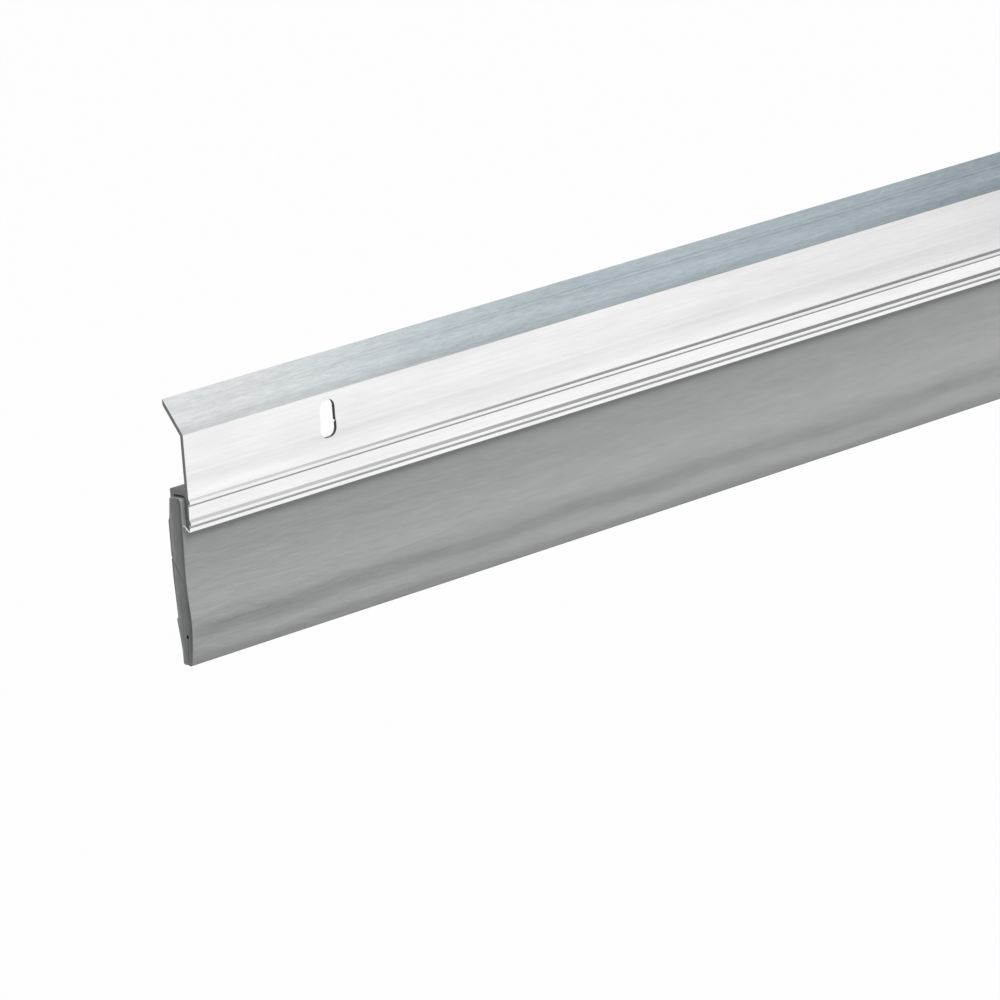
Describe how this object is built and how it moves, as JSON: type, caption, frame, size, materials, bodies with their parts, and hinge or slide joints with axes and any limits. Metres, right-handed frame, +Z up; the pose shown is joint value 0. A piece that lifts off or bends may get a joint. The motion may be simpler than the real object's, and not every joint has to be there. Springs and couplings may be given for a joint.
{
  "type": "door bottom seal",
  "caption": "Slotted aluminium carrier strip with a leaning top lip and ribbed front, holding a flexible vinyl blade that closes the gap under a door.",
  "frame": {"origin": "middle of the flat back of the channel, which lies on the face of the door", "axes": "+X along the strip, +Y into the door, +Z up towards the lip"},
  "size_m": [0.9166, 0.0052, 0.0508],
  "materials": {
    "mill_aluminium": "bright mill-finish extrusion with fine lengthwise die lines",
    "grey_vinyl": "semi-gloss flexible grey vinyl with faint lengthwise streaks"
  },
  "bodies": {
    "root": {"aluminium_carrier": "mill_aluminium", "vinyl_seal": "grey_vinyl"}
  },
  "joints": []
}
